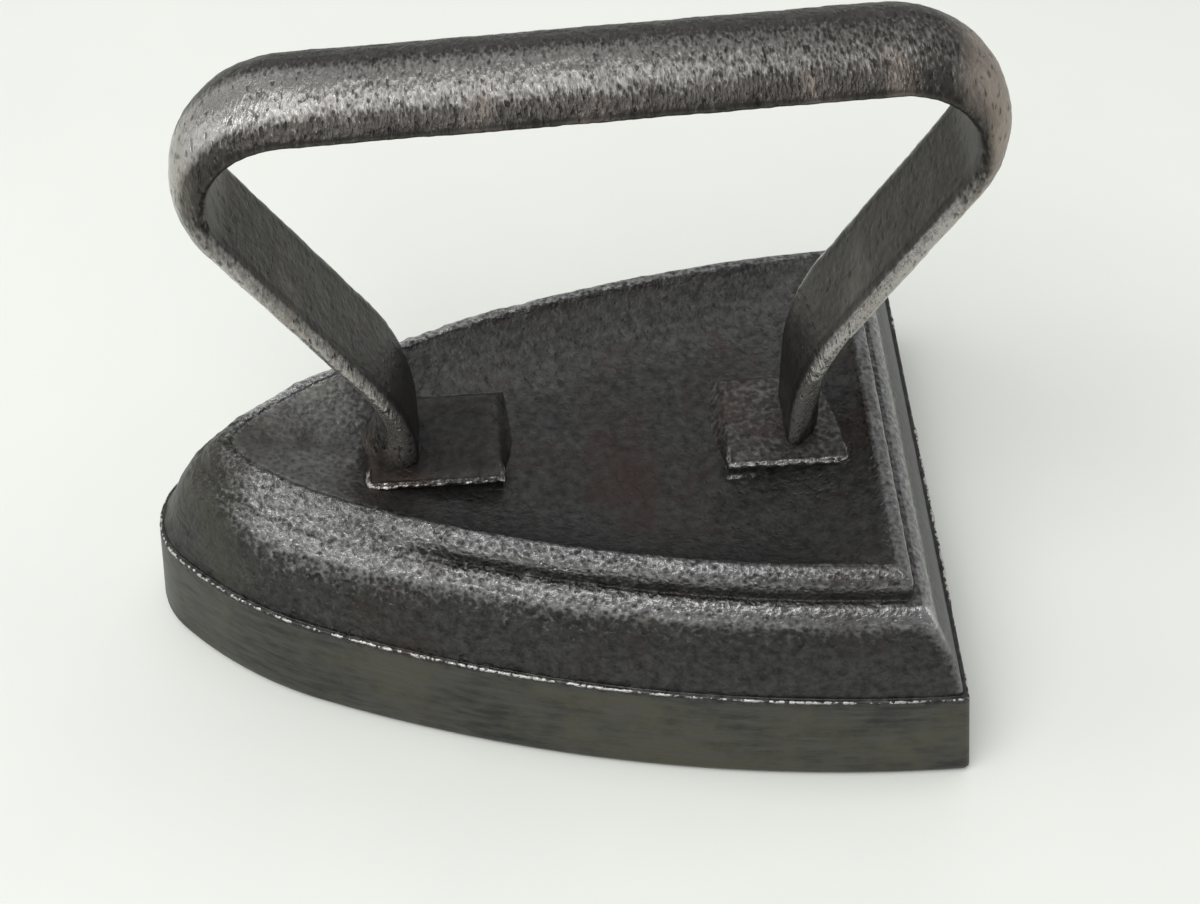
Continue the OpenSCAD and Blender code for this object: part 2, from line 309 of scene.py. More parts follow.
def by_stretch(values, blur):
    """A value for each row from a value for each stretch, blurred over a few rows."""
    line = np.array([values.get(name, 0.0) for name in stretch_of_row])
    for _ in range(blur):
        line = np.convolve(np.pad(line, 1, "edge"), [0.25, 0.5, 0.25], "valid")
    return line


def wobble(seed, count, width):
    """Smooth random numbers round a ring, with a spread of about 1."""
    draw = np.random.default_rng(seed).normal(size=count)
    bell = np.exp(-0.5 * (np.arange(-4 * width, 4 * width + 1) / width) ** 2)
    line = np.convolve(np.pad(draw, 4 * width, "wrap"), bell, "valid")
    return line / line.std()


# Marks on the grid: where the base is grainy, worn, bare, rusty or ground, and where painted shade darkens it
x, y, z = base_grid[:, :, 0], base_grid[:, :, 1], base_grid[:, :, 2]
row_inset, row_height = base_grid[:, 0, 0] + BASE_LEN / 2, base_grid[:, 0, 2]
deck_row = dish_rows[:, None]
moulding_row = np.isin(stretch_of_row, MOULDINGS)[:, None]
slope_row = np.isin(stretch_of_row, ("slope", "round"))[:, None]
heel_share = ease(base_grid[PLAN_ROW, :, 0], 39.0, 40.5)
mitre = sum(band(np.arange(columns), corner, 2.5) for corner in (SIDE_STEPS, SIDE_STEPS + HEEL_STEPS))
nose_tip = 1 - ease(x, -35, -27)

# Grain: coarse on bead and lip, most at the nose, and rubbed down towards the heel
grain_row = by_stretch({"plinth": 0.2, "flash": 0.3, "shelf": 0.5, "slope": 0.45, "round": 1.2, "lip": 1.3,
                        "quirk": 0.8, "bead": 1.3, "flank": 0.22, "deck": 0.2}, 3) * ease(row_height, 0.2, 1.2)
rubbed = np.maximum(np.maximum(heel_share, mitre), 0.85 * ease(x, -8, 28)) * ~deck_row
base_grain = grain_row[:, None] * (1 - 0.75 * rubbed) * (1 + 0.55 * nose_share * moulding_row)

# Flash: a torn bright edge where the two halves of the mould met
FLASH_Z, BARE_Z = 11.82, 11.8
flash_height = np.clip(0.07 + 0.05 * wobble(3, columns, 4) + 0.07 * wobble(4, columns, 1), 0, 0.25)
flash_row = band(row_height, FLASH_Z, 0.1) * (row_inset < 0.1)
flash_wide = band(z, BARE_Z, 0.1 + 0.07 * ease(-x, -15, 15)) * (row_inset < 0.2)[:, None]
bare = flash_wide * (0.6 + 0.4 * ease(flash_height, 0.04, 0.14))

# Wear: bead, lip and the slope's upper part are rubbed bright, most near the nose, whose tip stays dull
wear_row = by_stretch({"sole_edge": 0.1, "plinth": 0.0, "shelf": 0.3, "slope": 0.1, "round": 0.54, "lip": 0.62,
                       "quirk": 0.3, "bead": 0.78, "flank": 0.03, "deck": 0.03}, 2)
wear = wear_row[:, None] * (1 + 0.15 * heel_share) * (1.16 + 0.25 * ease(-x, 8, 20) - 0.38 * ease(x, -12, 34))
wear += 0.3 * (ease(z, 15.5, 19.0) * slope_row) * (1 + 0.4 * nose_share)
wear += 0.5 * by_stretch({"quirk": 1.0}, 1)[:, None] * nose_share
wear += 0.55 * mitre * slope_row
wear *= 1 - 0.85 * nose_tip * (y < 4)
wear += 0.62 * deck_row * ease(-x, 13, 22)


def patch(x0, y0, reach):
    """A soft round patch on the base, seen from above."""
    return np.exp(-((x - x0) ** 2 + (y - y0) ** 2) / reach**2)


# Rust lies in patches on the deck, and the plinth is ground, with the nose nearly as smooth
rust = deck_row * (0.1 + 0.5 * patch(7, -6, 5) + 0.5 * patch(14, -9, 5) + 0.6 * patch(30, -6, 4))
rust += deck_row * (0.3 * patch(-26, 1, 4) + 0.3 * patch(10, 9, 6))
ground_row = by_stretch({"sole": 1.0, "sole_edge": 1.0, "plinth": 1.0}, 1)
smooth_nose = 0.7 * (nose_tip * moulding_row) + 0.5 * deck_row * ease(-x, 15, 23)
# Painted shade: the groove between lip and bead is darkened, except round the nose
groove_painted_shade = by_stretch({"quirk": 0.25}, 2)[:, None] * (1 - nose_share)
base_marks = {
    "grain": base_grain,
    "proud": flash_row[:, None] * flash_height * MM,
    "wear": wear,
    "bare": bare,
    "rust": rust,
    "ground": np.clip(ground_row[:, None] + smooth_nose, 0, 1),
    "painted_shade": groove_painted_shade,
}

# Faces: rings of four-sided faces from the sole to the deck, closed by a fan at each end
i, j = np.meshgrid(np.arange(rows - 1), np.arange(columns), indexing="ij")
k = (j + 1) % columns
base_faces = np.stack([i * columns + j, i * columns + k, (i + 1) * columns + k, (i + 1) * columns + j], -1)
base_faces = base_faces.reshape(-1, 4).tolist()
sole_pole, deck_pole, last = rows * columns, rows * columns + 1, (rows - 1) * columns
base_faces += [[sole_pole, (j + 1) % columns, j] for j in range(columns)]
base_faces += [[deck_pole, last + j, last + (j + 1) % columns] for j in range(columns)]
base_points = np.vstack([base_grid.reshape(-1, 3), sole_middle, deck_middle])


def put_marks(made, marks):
    """Keeps a value for each point as an attribute; points past the end of a list take its last value."""
    count = len(made.data.vertices)
    for name, values in marks.items():
        values = np.ravel(values).astype(np.float32)
        values = np.pad(values, (0, count - len(values)), "edge")
        attribute = made.data.attributes.get(name) or made.data.attributes.new(name, "FLOAT", "POINT")
        attribute.data.foreach_set("value", values)


def mesh_piece(name, points, faces, marks):
    """A mesh object from points in millimetres, with its marks kept as attributes of its points."""
    mesh = bpy.data.meshes.new(name)
    mesh.from_pydata((np.asarray(points) * MM).tolist(), [], faces)
    mesh.update()
    made = bpy.data.objects.new(name, mesh)
    scene.collection.objects.link(made)
    put_marks(made, marks)
    return made


def maths(tree, operation, first, second=0.0):
    """One sum in a shader tree or a geometry tree."""
    node = tree.nodes.new("ShaderNodeMath")
    node.operation = operation
    for socket, value in zip(node.inputs, (first, second)):
        if isinstance(value, (int, float)):
            socket.default_value = value
        else:
            tree.links.new(value, socket)
    return node.outputs[0]


def build_relief_tree():
    """Geometry nodes that raise a sand casting's grain along the normals, where the marks ask for it."""
    tree = bpy.data.node_groups.new("sand_cast_relief", "GeometryNodeTree")
    add_socket = tree.interface.new_socket
    add_socket("Geometry", in_out="INPUT", socket_type="NodeSocketGeometry")
    for name in ("Lump Size", "Lump Height", "Grain Size", "Grain Height"):
        add_socket(name, in_out="INPUT", socket_type="NodeSocketFloat")
    add_socket("Skin", in_out="INPUT", socket_type="NodeSocketMaterial")
    add_socket("Geometry", in_out="OUTPUT", socket_type="NodeSocketGeometry")
    begin, end = tree.nodes.new("NodeGroupInput"), tree.nodes.new("NodeGroupOutput")
    place = tree.nodes.new("GeometryNodeInputPosition").outputs[0]
    facing = tree.nodes.new("GeometryNodeInputNormal").outputs[0]
    marks = {}
    for name in ("grain", "proud"):
        node = tree.nodes.new("GeometryNodeInputNamedAttribute")
        node.data_type = "FLOAT"
        node.inputs["Name"].default_value = name
        marks[name] = node.outputs["Attribute"]
    rise = None
    for size, height, detail in (("Lump Size", "Lump Height", 1.0), ("Grain Size", "Grain Height", 0.5)):
        scale = maths(tree, "DIVIDE", 1.0, begin.outputs[size])
        swing = maths(tree, "SUBTRACT", link_noise(tree, place, scale, detail), 0.5)
        swing = maths(tree, "MULTIPLY", maths(tree, "MULTIPLY", swing, 4.0), begin.outputs[height])
        rise = swing if rise is None else maths(tree, "ADD", rise, swing)
    rise = maths(tree, "ADD", maths(tree, "MULTIPLY", rise, marks["grain"]), marks["proud"])
    shift = tree.nodes.new("ShaderNodeVectorMath")
    shift.operation = "SCALE"
    tree.links.new(facing, shift.inputs[0])
    tree.links.new(rise, shift.inputs["Scale"])
    move = tree.nodes.new("GeometryNodeSetPosition")
    smooth = tree.nodes.new("GeometryNodeSetShadeSmooth")
    real = tree.nodes.new("GeometryNodeRealizeInstances")
    skin = tree.nodes.new("GeometryNodeSetMaterial")
    tree.links.new(begin.outputs["Geometry"], move.inputs["Geometry"])
    tree.links.new(shift.outputs[0], move.inputs["Offset"])
    tree.links.new(move.outputs[0], smooth.inputs["Geometry"])
    tree.links.new(smooth.outputs[0], real.inputs["Geometry"])
    tree.links.new(real.outputs[0], skin.inputs["Geometry"])
    tree.links.new(begin.outputs["Skin"], skin.inputs["Material"])
    tree.links.new(skin.outputs[0], end.inputs["Geometry"])
    return tree


def apply_tree(made, tree, values):
    """Runs a geometry tree on an object and keeps its result as a plain mesh."""
    modifier = made.modifiers.new(tree.name, "NODES")
    modifier.node_group = tree
    for item in tree.interface.items_tree:
        if item.in_out == "INPUT" and item.name in values:
            modifier[item.identifier] = values[item.name]
    graph = bpy.context.evaluated_depsgraph_get()
    mesh = bpy.data.meshes.new_from_object(made.evaluated_get(graph))
    made.modifiers.remove(modifier)
    return mesh


relief_tree = build_relief_tree()


def cast(made, skin, lump_size, lump_height, grain_size, grain_height):
    """Gives a mesh piece its sand-cast relief and its skin."""
    smooth_mesh = made.data
    made.data = apply_tree(made, relief_tree, {
        "Lump Size": lump_size * MM, "Lump Height": lump_height * MM,
        "Grain Size": grain_size * MM, "Grain Height": grain_height * MM, "Skin": skin})
    bpy.data.meshes.remove(smooth_mesh)


def build_skin_group():
    """The skin of old cast iron: the height of its grain and pits, and where it is worn, bare or stained."""
    group = bpy.data.node_groups.new("cast_skin", "ShaderNodeTree")
    add_socket = group.interface.new_socket
    add_socket("Vector", in_out="INPUT", socket_type="NodeSocketVector")
    for name in ("Wear", "Bare", "Rust", "Grain Scale", "Patchy"):
        add_socket(name, in_out="INPUT", socket_type="NodeSocketFloat")
    for name in ("Height", "Worn", "Bared", "Stained", "Pits", "Mottle"):
        add_socket(name, in_out="OUTPUT", socket_type="NodeSocketFloat")
    begin, end = group.nodes.new("NodeGroupInput"), group.nodes.new("NodeGroupOutput")
    vector = begin.outputs["Vector"]
    facet_share, pit_depth, wear_share = 0.3, 0.35, 0.75
    grain = link_noise(group, vector, begin.outputs["Grain Scale"], 3.0, 0.6)
    facets = group.nodes.new("ShaderNodeTexVoronoi")
    group.links.new(vector, facets.inputs["Vector"])
    group.links.new(begin.outputs["Grain Scale"], facets.inputs["Scale"])
    grain = maths(group, "ADD", maths(group, "MULTIPLY", grain, 1 - facet_share),
                  maths(group, "MULTIPLY", facets.outputs["Distance"], facet_share))
    pit_scale = maths(group, "MULTIPLY", begin.outputs["Grain Scale"], 0.7)
    pits = link_spread(group, link_noise(group, vector, pit_scale, 1.0), 0.40, 0.28)
    height = maths(group, "SUBTRACT", grain, maths(group, "MULTIPLY", pits, pit_depth))
    group.links.new(height, end.inputs["Height"])
    lift = maths(group, "MULTIPLY", maths(group, "SUBTRACT", grain, 0.5), begin.outputs["Patchy"])
    worn = maths(group, "ADD", maths(group, "MULTIPLY", begin.outputs["Wear"], wear_share), lift)
    group.links.new(link_spread(group, worn, 0.30, 0.98), end.inputs["Worn"])
    stain = link_noise(group, vector, 110, 5.0, 0.62)
    stain = maths(group, "ADD", stain, maths(group, "MULTIPLY", begin.outputs["Rust"], 0.32))
    group.links.new(link_spread(group, stain, 0.56, 0.86), end.inputs["Stained"])
    group.links.new(pits, end.inputs["Pits"])
    mottle = link_noise(group, vector, 1000, 4.0, 0.7)
    group.links.new(link_spread(group, mottle, 0.34, 0.66), end.inputs["Mottle"])
    specks = maths(group, "SUBTRACT", link_noise(group, vector, 2400, 2.0), 0.5)
    bared = maths(group, "ADD", maths(group, "MULTIPLY", specks, 2.8), 0.9)
    bared = maths(group, "MULTIPLY", bared, begin.outputs["Bare"])
    group.links.new(link_spread(group, bared, 0.5, 0.7), end.inputs["Bared"])
    return group


skin_group = build_skin_group()
# Near-black for the pits and for painted shade, and pale bare iron for the flash and the crust
PIT_AND_SHADE_BLACK, BARE_IRON = (0.012, 0.011, 0.011), (0.55, 0.54, 0.51)


def iron_skin(name, dull, bright, rust, ground, grain_scale, patchy, roughness, bump, stroke, lay, pitted):
    """Old iron: dull in its hollows, bright where worn, brown where stained and smooth where ground.

    ground holds its dark, olive and scratched colours, roughness that of dull and of bright iron,
    stroke and lay the scales of its scratches and of its grain along the axes, and bump its height in mm.
    """
    made = bpy.data.materials.new(name)
    made.use_nodes = True
    tree = made.node_tree
    shader = tree.nodes["Principled BSDF"]
    coords = tree.nodes.new("ShaderNodeTexCoord").outputs["Object"]
    marks = {}
    for mark in ("grain", "wear", "bare", "rust", "ground", "painted_shade"):
        node = tree.nodes.new("ShaderNodeAttribute")
        node.attribute_name = mark
        marks[mark] = node.outputs["Fac"]
    skin = tree.nodes.new("ShaderNodeGroup")
    skin.node_tree = skin_group
    laid = tree.nodes.new("ShaderNodeMapping")
    laid.inputs["Scale"].default_value = lay
    tree.links.new(coords, laid.inputs["Vector"])
    tree.links.new(laid.outputs[0], skin.inputs["Vector"])
    tree.links.new(marks["wear"], skin.inputs["Wear"])
    tree.links.new(marks["bare"], skin.inputs["Bare"])
    tree.links.new(marks["rust"], skin.inputs["Rust"])
    skin.inputs["Grain Scale"].default_value = grain_scale
    rugged = maths(tree, "MULTIPLY", maths(tree, "MINIMUM", marks["grain"], 1.0), 0.75)
    rugged = maths(tree, "ADD", rugged, 0.25)
    tree.links.new(maths(tree, "MULTIPLY", rugged, patchy), skin.inputs["Patchy"])
    dark, light = (tuple(np.array(dull) * share) for share in (1 - 0.26 * patchy, 1 + 0.32 * patchy))
    depth = maths(tree, "ADD", maths(tree, "MULTIPLY", marks["grain"], 0.3), 0.75)
    mottle = maths(tree, "MULTIPLY", maths(tree, "SUBTRACT", skin.outputs["Mottle"], 0.5), depth)
    colour = link_mix(tree, maths(tree, "ADD", mottle, 0.5), dark, light)
    colour = link_mix(tree, skin.outputs["Worn"], colour, bright)
    colour = link_mix(tree, skin.outputs["Stained"], colour, rust)
    stretch = tree.nodes.new("ShaderNodeMapping")
    stretch.inputs["Scale"].default_value = stroke
    tree.links.new(coords, stretch.inputs["Vector"])
    strokes = link_noise(tree, stretch.outputs[0], 1.0, 3.0, 0.6)
    olive = link_spread(tree, link_noise(tree, coords, 95, 5.0, 0.68), 0.42, 0.60)
    ground_colour = link_mix(tree, olive, ground[0], ground[1])
    ground_colour = link_mix(tree, link_spread(tree, strokes, 0.35, 0.7), ground_colour, ground[2])
    colour = link_mix(tree, marks["ground"], colour, ground_colour)
    pit_share = maths(tree, "SUBTRACT", pitted, maths(tree, "MULTIPLY", marks["ground"], 0.8 * pitted))
    pit_share = maths(tree, "MULTIPLY", pit_share, skin.outputs["Pits"])
    # Pits and painted shade darken the colour towards near-black
    painted_shade_and_pits = maths(tree, "MAXIMUM", marks["painted_shade"], pit_share)
    colour = link_mix(tree, maths(tree, "MULTIPLY", painted_shade_and_pits, 0.75), colour, PIT_AND_SHADE_BLACK)
    colour = link_mix(tree, skin.outputs["Bared"], colour, BARE_IRON)
    tree.links.new(colour, shader.inputs["Base Color"])
    rough = link_spread(tree, skin.outputs["Worn"], 0, 1, *roughness)
    tree.links.new(rough, shader.inputs["Roughness"])
    shader.inputs["Metallic"].default_value = 0.85
    smooth_share = maths(tree, "SUBTRACT", 1.0, maths(tree, "MULTIPLY", marks["ground"], 0.75))
    coarse = maths(tree, "MULTIPLY", smooth_share, marks["grain"])
    height = maths(tree, "MULTIPLY", skin.outputs["Height"], coarse)
    scratches = maths(tree, "MULTIPLY", maths(tree, "MULTIPLY", strokes, marks["ground"]), 0.12)
    relief = tree.nodes.new("ShaderNodeBump")
    relief.inputs["Strength"].default_value = 1.0
    relief.inputs["Distance"].default_value = bump * MM
    tree.links.new(maths(tree, "ADD", height, scratches), relief.inputs["Height"])
    tree.links.new(relief.outputs["Normal"], shader.inputs["Normal"])
    return made


base_iron = iron_skin(
    "base_iron", dull=(0.052, 0.052, 0.050), bright=(0.44, 0.44, 0.435), rust=(0.058, 0.038, 0.033),
    ground=((0.037, 0.037, 0.035), (0.088, 0.086, 0.060), (0.086, 0.086, 0.078)), grain_scale=1850, patchy=1.9,
    roughness=(0.46, 0.20), bump=0.50, stroke=(240, 240, 1300), lay=(1, 1, 1), pitted=0.3)
base = mesh_piece("base_casting_cast", base_points, base_faces, base_marks)
cast(base, base_iron, lump_size=2.4, lump_height=0.055, grain_size=1.05, grain_height=0.068)
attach(base, "root")
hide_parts("base_casting")


# The two foot pads: blocks of iron run round the handle's feet to set them in the deck.
# Their tops are flat and rough, and their edges stand up in a bright crust.
def foot_pad(name, node, low, high, painted_shade_and_pits, toe_right, seed):
    """A block between two corners in plan, with a crusty near edge and a broken toe of metal below it."""
    step, skirt_rows, pad_h, far_fall, edge_round = 0.2, 16, 2.1, 0.9, 1.6
    nx, ny = int((high[0] - low[0]) / step), int((high[1] - low[1]) / step)
    steps_x = np.arange(-skirt_rows, nx + skirt_rows + 1)
    steps_y = np.arange(-skirt_rows, ny + skirt_rows + 1)
    at_x, at_y = np.meshgrid(steps_x, steps_y)
    over_x = np.maximum(np.maximum(-at_x, at_x - nx), 0)
    over_y = np.maximum(np.maximum(-at_y, at_y - ny), 0)
    drop = np.maximum(over_x, over_y) * step
    px = low[0] + np.clip(at_x, 0, nx) * (high[0] - low[0]) / nx
    py = low[1] + np.clip(at_y, 0, ny) * (high[1] - low[1]) / ny

    # The sides are steep at the near edge and lean out towards the far one, and the top edges are round
    near = ease(-py, 3.0, 5.0)
    lean = (1 - ease(-py, -2.0, 5.6)) * drop
    from_edge = np.minimum(np.minimum(px - low[0], high[0] - px), np.minimum(py - low[1], high[1] - py))
    from_left = (px - low[0]) / (high[0] - low[0])
    rounding = 1 - np.sqrt(1 - (1 - np.clip(from_edge / edge_round, 0, 1)) ** 2)
    pz = DECK_Z + pad_h - far_fall * ease(py, low[1] + 2, high[1]) - drop
    pz = pz - (1 - 0.6 * near) * 0.5 * rounding
    px = px + np.sign(np.where(at_x < 0, -1, at_x > nx)) * lean
    py = py + np.sign(np.where(at_y < 0, -1, at_y > ny)) * lean
    points = np.stack([px, py, pz], -1)
    ny_all, nx_all = drop.shape
    a, b = np.meshgrid(np.arange(ny_all - 1), np.arange(nx_all - 1), indexing="ij")
    faces = np.stack([a * nx_all + b, a * nx_all + b + 1, (a + 1) * nx_all + b + 1, (a + 1) * nx_all + b], -1)

    # The crust is torn along the edge, and brightest at its left end
    rng = np.random.default_rng(seed)
    broken = np.clip(0.75 + 0.5 * rng.normal(size=nx_all)[None, :], 0.0, 1.3)
    broken = (broken + np.roll(broken, 1, 1) + np.roll(broken, -1, 1)) / 3
    bright_end = 1 - ease(from_left, 0.1, 0.35)
    crust = band(drop, 0.25, 0.3) * (from_edge < 0.3)
    toe = band(drop, 1.9, 0.25) * (at_y < 0)
    toe = toe * np.clip(bright_end + toe_right * ease(from_left, 0.8, 0.92), 0.12, 1)
    # Painted shade on the near face below the crust, less at the crust's bright end
    painted_shade_under_crust = 0.35 * (1 - 0.8 * bright_end) * band(drop, 1.0, 0.4) * (drop > 0.3) * near
    # The front pad's top is darkened and kept less worn as a painted shadow of the grip above it
    marks = {
        "grain": 0.35 + (1.7 * crust + 1.4 * toe) * near,
        "proud": (0.18 * crust + 0.45 * toe) * (0.2 + 0.8 * near) * broken * MM,
        "wear": 0.1 + 0.7 * (0.5 - painted_shade_and_pits) + (0.1 + 0.5 * near) * crust + 0.5 * toe * near,
        "bare": (0.75 + 0.5 * bright_end) * (crust + toe) * near * ease(broken, 0.4, 0.9),
        "rust": np.full_like(px, 0.1),
        "painted_shade": painted_shade_under_crust + painted_shade_and_pits * ease(from_edge, 0, 2),
    }
    made = mesh_piece(name, points.reshape(-1, 3), faces.reshape(-1, 4).tolist(), marks)
    shape = bmesh.new()
    shape.from_mesh(made.data)
    bmesh.ops.remove_doubles(shape, verts=shape.verts, dist=1e-6)
    rim = [edge for edge in shape.edges if edge.is_boundary]
    bmesh.ops.contextual_create(shape, geom=rim)
    bmesh.ops.recalc_face_normals(shape, faces=shape.faces)
    shape.to_mesh(made.data)
    shape.free()
    cast(made, pad_iron, lump_size=1.6, lump_height=0.07, grain_size=0.7, grain_height=0.05)
    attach(made, "root")
    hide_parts(node)


pad_iron = iron_skin(
    "pad_iron", dull=(0.058, 0.055, 0.053), bright=(0.42, 0.415, 0.40), rust=(0.07, 0.04, 0.032),
    ground=((0.05, 0.05, 0.05), (0.05, 0.05, 0.05), (0.05, 0.05, 0.05)), grain_scale=1700, patchy=1.7,
    roughness=(0.5, 0.30), bump=0.26, stroke=(900, 900, 900), lay=(1, 1, 1), pitted=0.4)
# The front pad takes a painted shadow of the grip on its top; the rear pad none
foot_pad("front_foot_pad_cast", "front_foot_pad", low=(-17.5, -6.0), high=(-4.2, 6.0),
         painted_shade_and_pits=0.5, toe_right=0.8, seed=21)
foot_pad("rear_foot_pad_cast", "rear_foot_pad", low=(18.3, -6.0), high=(30.3, 6.0),
         painted_shade_and_pits=0.0, toe_right=0.0, seed=31)


# The handle: one half-round iron bar bent into a loop, flat face inside. It is worn bright along the grip, a
# band that also carries a painted highlight, and brown at the bends, and its feet narrow and then spread a
# little where they enter the pads.
BAR_W, BAR_T, CROWN_R, EDGE_IN, EDGE_OUT = 11.6, 3.4, 8.6, 1.4, 1.0
PAD_TOP, FOOT_W, TAPER_H = 23.0, 8.3, 12.0
CROWN_TURN, SECTION_POINTS, BAR_STATIONS = 34, 106, 860
bar_corners = [(-12.4, 19.0), (-12.4, 31.7), (-33.4, 67.6), (44.0, 71.0), (24.3, 35.1), (24.3, 19.0)]
bar_bends = [0.0, 25.0, 7.7, 7.7, 25.0, 0.0]


def curve_piece(name, points, radii, cyclic):
    """A curve through points in millimetres, each with its own radius."""
    curve = bpy.data.curves.new(name, "CURVE")
    curve.dimensions = "3D"
    spline = curve.splines.new("POLY")
    spline.points.add(len(points) - 1)
    spline.use_cyclic_u = cyclic
    for point, place, radius in zip(spline.points, points, radii):
        point.co = (*(np.array(place) * MM), 1)
        point.radius = radius * MM
    made = bpy.data.objects.new(name, curve)
    scene.collection.objects.link(made)
    return made


bar_path = curve_piece("bar_path", [(px, 0, pz) for px, pz in bar_corners], bar_bends, cyclic=False)
flat_half = BAR_W / 2 - EDGE_IN
edge_bow = arc_points((0, 0), 1.0, -90, 0, 12) * [EDGE_IN, EDGE_OUT] + [flat_half, EDGE_OUT]
crown_bow = arc_points((0, BAR_T - CROWN_R), CROWN_R, 90 - CROWN_TURN, 90 + CROWN_TURN, 60)
flat_right, flat_left = [[0.0, 0.0], [flat_half, 0.0]], [[-flat_half, 0.0], [0.0, 0.0]]
bar_section = np.vstack([flat_right, edge_bow[1:], crown_bow, edge_bow[:0:-1] * [-1, 1], flat_left])
bar_section = resample(bar_section, SECTION_POINTS + 1)[1:]
for _ in range(4):
    bar_section = (np.roll(bar_section, 1, 0) + 2 * bar_section + np.roll(bar_section, -1, 0)) / 4
section_places = [(-out, across, 0) for across, out in bar_section]
section_path = curve_piece("bar_section", section_places, np.ones(SECTION_POINTS), cyclic=True)


def build_bar_tree():
    """Geometry nodes that bend a bar: each corner of the path is rounded, and the section swept along it."""
    tree = bpy.data.node_groups.new("bent_bar", "GeometryNodeTree")
    add_socket = tree.interface.new_socket
    add_socket("Geometry", in_out="INPUT", socket_type="NodeSocketGeometry")
    add_socket("Section", in_out="INPUT", socket_type="NodeSocketObject")
    add_socket("Stations", in_out="INPUT", socket_type="NodeSocketInt")
    for name in ("Pad Top", "Taper Height", "Foot Share"):
        add_socket(name, in_out="INPUT", socket_type="NodeSocketFloat")
    add_socket("Skin", in_out="INPUT", socket_type="NodeSocketMaterial")
    add_socket("Geometry", in_out="OUTPUT", socket_type="NodeSocketGeometry")
    begin, end = tree.nodes.new("NodeGroupInput"), tree.nodes.new("NodeGroupOutput")
    bend = tree.nodes.new("GeometryNodeFilletCurve")
    bend.mode = "POLY"
    bend.inputs["Count"].default_value = 48
    tree.links.new(begin.outputs["Geometry"], bend.inputs["Curve"])
    tree.links.new(tree.nodes.new("GeometryNodeInputRadius").outputs[0], bend.inputs["Radius"])
    spaced = tree.nodes.new("GeometryNodeResampleCurve")
    tree.links.new(bend.outputs[0], spaced.inputs["Curve"])
    tree.links.new(begin.outputs["Stations"], spaced.inputs["Count"])
    even = tree.nodes.new("GeometryNodeSetCurveRadius")
    even.inputs["Radius"].default_value = 1.0
    tree.links.new(spaced.outputs[0], even.inputs["Curve"])
    section = tree.nodes.new("GeometryNodeObjectInfo")
    tree.links.new(begin.outputs["Section"], section.inputs["Object"])
    keep = tree.nodes.new("GeometryNodeStoreNamedAttribute")
    keep.data_type = "FLOAT_VECTOR"
    keep.inputs["Name"].default_value = "section"
    tree.links.new(section.outputs["Geometry"], keep.inputs["Geometry"])
    tree.links.new(tree.nodes.new("GeometryNodeInputPosition").outputs[0], keep.inputs["Value"])
    sweep = tree.nodes.new("GeometryNodeCurveToMesh")
    sweep.inputs["Fill Caps"].default_value = True
    tree.links.new(even.outputs[0], sweep.inputs["Curve"])
    tree.links.new(keep.outputs[0], sweep.inputs["Profile Curve"])
    split = tree.nodes.new("ShaderNodeSeparateXYZ")
    tree.links.new(tree.nodes.new("GeometryNodeInputPosition").outputs[0], split.inputs[0])
    rise = maths(tree, "SUBTRACT", split.outputs["Z"], begin.outputs["Pad Top"])
    rise = link_spread(tree, maths(tree, "DIVIDE", rise, begin.outputs["Taper Height"]), 0.0, 1.0)
    spare = maths(tree, "SUBTRACT", begin.outputs["Foot Share"], 1.0)
    spare = maths(tree, "MULTIPLY", spare, maths(tree, "SUBTRACT", 1.0, rise))
    join = tree.nodes.new("ShaderNodeCombineXYZ")
    tree.links.new(maths(tree, "MULTIPLY", split.outputs["Y"], spare), join.inputs["Y"])
    narrow = tree.nodes.new("GeometryNodeSetPosition")
    tree.links.new(sweep.outputs[0], narrow.inputs["Geometry"])
    tree.links.new(join.outputs[0], narrow.inputs["Offset"])
    real = tree.nodes.new("GeometryNodeRealizeInstances")
    skin = tree.nodes.new("GeometryNodeSetMaterial")
    tree.links.new(narrow.outputs[0], real.inputs["Geometry"])
    tree.links.new(real.outputs[0], skin.inputs["Geometry"])
    tree.links.new(begin.outputs["Skin"], skin.inputs["Material"])
    tree.links.new(skin.outputs[0], end.inputs["Geometry"])
    return tree


handle_iron = iron_skin(
    "handle_iron", dull=(0.056, 0.051, 0.046), bright=(0.40, 0.388, 0.366), rust=(0.29, 0.245, 0.208),
    ground=((0.041, 0.040, 0.037), (0.035, 0.034, 0.032), (0.062, 0.061, 0.057)), grain_scale=2000, patchy=1.3,
    roughness=(0.42, 0.25), bump=0.16, stroke=(1100, 1100, 1100), lay=(1.7, 0.75, 0.75), pitted=0.9)
bar_mesh = apply_tree(bar_path, build_bar_tree(), {
    "Section": section_path, "Stations": BAR_STATIONS, "Pad Top": PAD_TOP * MM, "Taper Height": TAPER_H * MM,
    "Foot Share": FOOT_W / BAR_W, "Skin": handle_iron})
bpy.data.objects.remove(bar_path)
bpy.data.objects.remove(section_path)
handle = bpy.data.objects.new("handle_bar", bar_mesh)
scene.collection.objects.link(handle)
count = len(bar_mesh.vertices)
places, section = np.zeros(count * 3), np.zeros(count * 3)
bar_mesh.vertices.foreach_get("co", places)
bar_mesh.attributes["section"].data.foreach_get("vector", section)
places, section = places.reshape(-1, 3) / MM, section.reshape(-1, 3) / MM
out, across = -section[:, 0], section[:, 1]

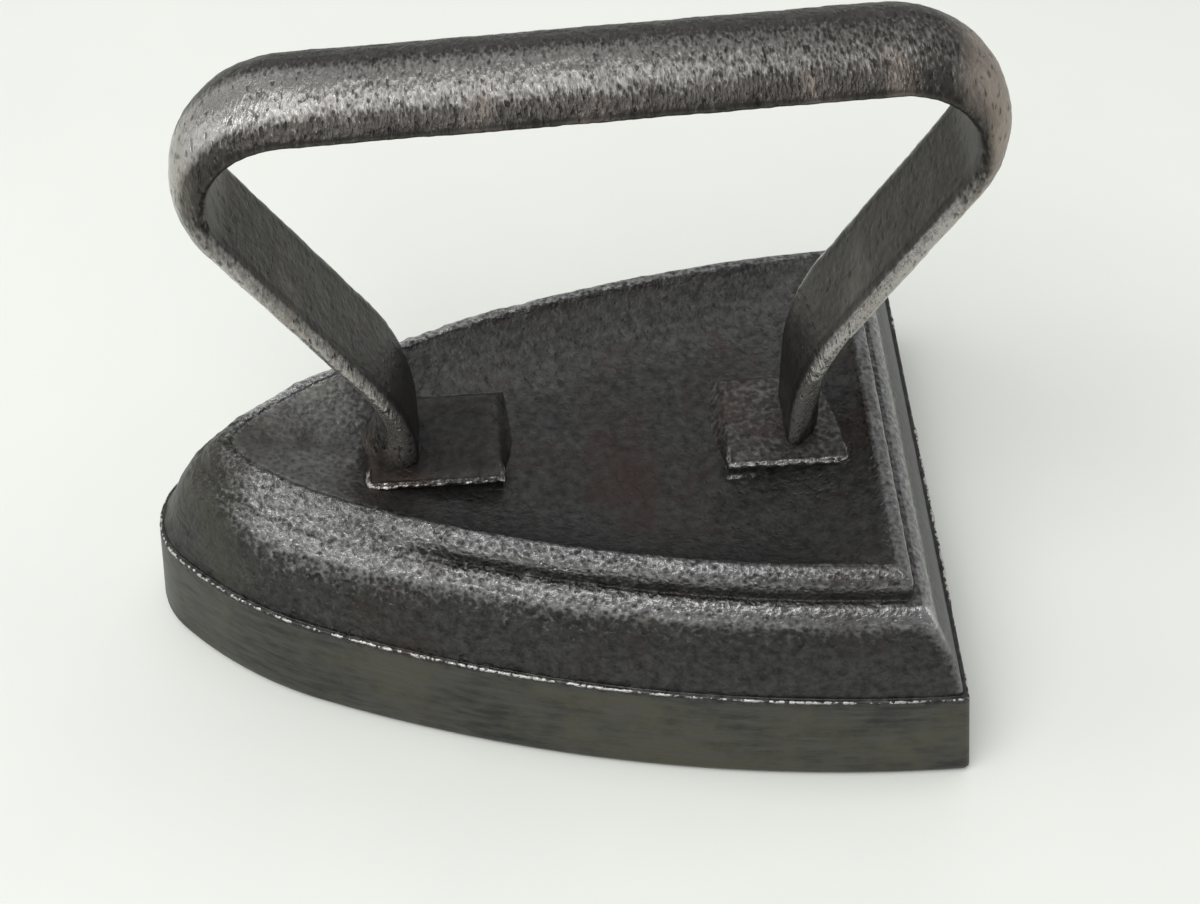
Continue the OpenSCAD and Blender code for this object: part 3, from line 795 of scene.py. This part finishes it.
# The root of each foot spreads on its outer face, most at the front
ROOT_H, ROOT_CURVE, FRONT_SPREAD, REAR_SPREAD = 9.0, 2.4, -2.4, 0.15
front = places[:, 0] < 6
root = np.clip(1 - (places[:, 2] - PAD_TOP) / ROOT_H, 0, 1) ** ROOT_CURVE
places[:, 0] += np.where(front, FRONT_SPREAD, REAR_SPREAD) * root * np.clip(out / BAR_T, 0, 1)
bar_mesh.vertices.foreach_set("co", (places * MM).ravel())

# Marks on the bar: the grip is worn along the near side of its crown, a band that also carries a painted
# highlight, strongest at its left end; the bends are brown, and the straps' edges are rubbed. The feet are
# rubbed and lightened as painted light, and the creases of the flat face and the rear foot's root carry
# painted shade
x, y, z = places.T
crown = ease(out, 0.2, 1.6)
flat_face = 1 - ease(out, 0.02, 0.2)
grip = ease(z, 54, 62) * ease(x, -38, -32) * (1 - 0.6 * ease(x, -5, 34)) * (1 - ease(x, 34, 42))
# Painted highlight at the grip's left end, added as extra wear where the light falls strongest
grip_left_highlight = band(x, -27, 7) * ease(z, 56, 64)
left_bend = band(x, -31, 8) * band(z, 62, 10)
right_bend = ease(x, 32, 38) * ease(z, 46, 60)
strap = 1 - ease(z, 54, 64)
strap_edge = strap * ease(np.abs(across), 3.6, 4.6) * (1 - ease(out, 2.0, 2.9)) * (1 - flat_face)
# The worn band on the grip is also a painted highlight: it is held to the part of the crown where the
# highlight falls
grip_wear_and_highlight = (0.78 * grip + 0.7 * grip_left_highlight) * crown * (1 - ease(y, -0.6, 2.4)) * (1 - ease(-y, 2.8, 5.0))
edge_wear = np.where(front, 0.9, 1.2) * strap_edge * ease(z, 21, 27)
# The lower straps' crowns are lightened as wear and as painted light
foot_wear_and_light = 0.35 * (1 - ease(z, 26, 38)) * crown * (1 - root)
# Painted shade along the creases at the edges of the flat face
crease_painted_shade = 0.8 * band(np.abs(across), 4.15, 0.25) * flat_face
# Painted shadow on the outer part of the rear foot's crown near the pad, its upper edge slanting with height
rear_root_painted_shadow = ~front * ease(out - 3.2 * ease(z, 22, 32), 0.1, 0.9) * (1 - ease(z, 27, 32))
put_marks(handle, {
    "grain": 1.0 - 0.3 * flat_face,
    "proud": np.zeros(count),
    "wear": 0.22 + grip_wear_and_highlight + edge_wear + foot_wear_and_light,
    "rust": (0.05 - 0.25 * grip + 0.7 * left_bend + 0.95 * right_bend + 0.45 * root * front) * crown,
    "ground": 0.5 * flat_face,
    "painted_shade": crease_painted_shade + rear_root_painted_shadow,
})
bar_mesh.attributes.remove(bar_mesh.attributes["section"])
cast(handle, handle_iron, lump_size=3.2, lump_height=0.05, grain_size=0.75, grain_height=0.03)
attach(handle, "root")
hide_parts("handle")
